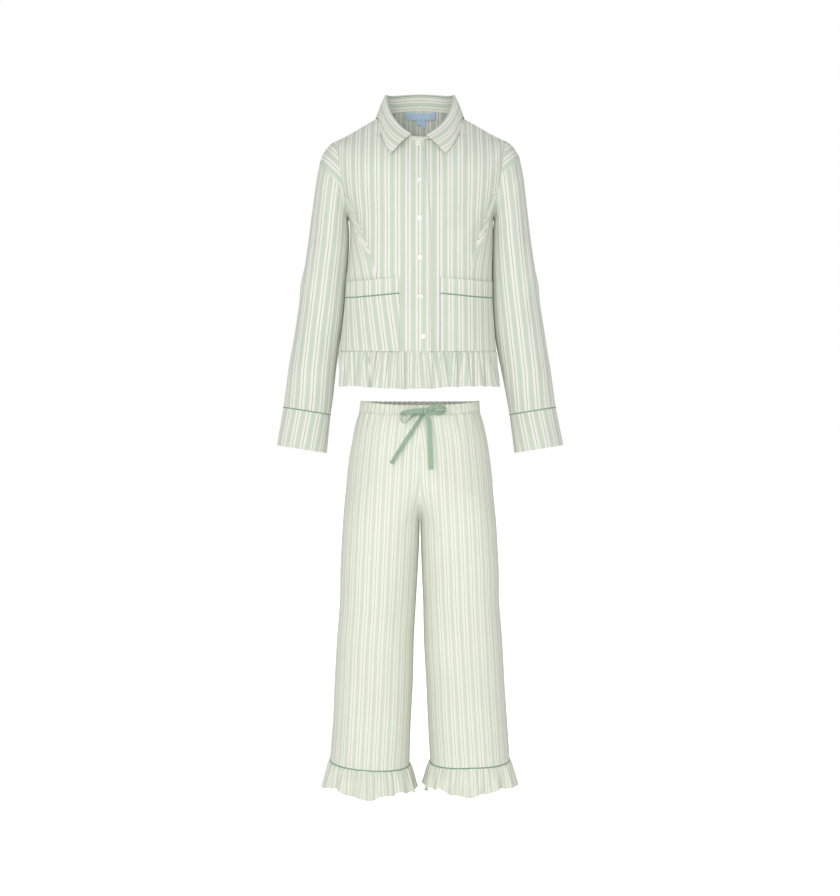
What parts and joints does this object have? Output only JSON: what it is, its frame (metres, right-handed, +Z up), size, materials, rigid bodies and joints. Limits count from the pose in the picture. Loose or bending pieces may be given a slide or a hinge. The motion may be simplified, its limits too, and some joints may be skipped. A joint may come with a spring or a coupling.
{
  "type": "pyjama set",
  "caption": "Striped long-sleeved pyjama shirt with collar, patch pockets and ruffled hem, worn form, over striped trousers with frilled hems and a tape bow.",
  "frame": {"origin": "middle of the neck base between the two shoulder seams, where the wearer's shoulders hold the shirt", "axes": "+Z up along the body, +Y toward the wearer's back so that the front faces -Y, +X toward the wearer's left"},
  "size_m": [0.6585, 0.2697, 1.6115],
  "materials": {
    "striped_cloth": "matt woven cotton with pale green and cream stripes",
    "piping": "matt green piping",
    "tape": "flat sage green tape",
    "label": "smooth pale blue label cloth, bare",
    "button": "white button with a soft shine"
  },
  "bodies": {
    "root": {"shirt_back": "striped_cloth", "shirt_front_right": "striped_cloth", "shirt_front_left": "striped_cloth", "collar_stand": "striped_cloth", "collar_fall": "striped_cloth", "neck_label": "label", "size_tab": "label", "ruffle_back": "striped_cloth", "ruffle_front_right": "striped_cloth", "ruffle_front_left": "striped_cloth", "button_1": "button", "button_2": "button", "button_3": "button", "button_4": "button", "button_5": "button", "button_6": "button", "sleeve_right": "striped_cloth", "sleeve_left": "striped_cloth", "cuff_right": "striped_cloth", "cuff_left": "striped_cloth", "cuff_piping_right": "piping", "cuff_piping_left": "piping", "pocket_right": "striped_cloth", "pocket_left": "striped_cloth", "pocket_band_right": "striped_cloth", "pocket_band_left": "striped_cloth", "pocket_piping_right": "piping", "pocket_piping_left": "piping", "trouser_front_right": "striped_cloth", "trouser_front_left": "striped_cloth", "trouser_back_right": "striped_cloth", "trouser_back_left": "striped_cloth", "waistband": "striped_cloth", "frill_right": "striped_cloth", "frill_left": "striped_cloth", "hem_piping_right": "piping", "hem_piping_left": "piping", "bow_knot": "tape", "bow_loop_right": "tape", "bow_loop_left": "tape", "bow_tail_right": "tape", "bow_tail_left": "tape"}
  },
  "joints": []
}
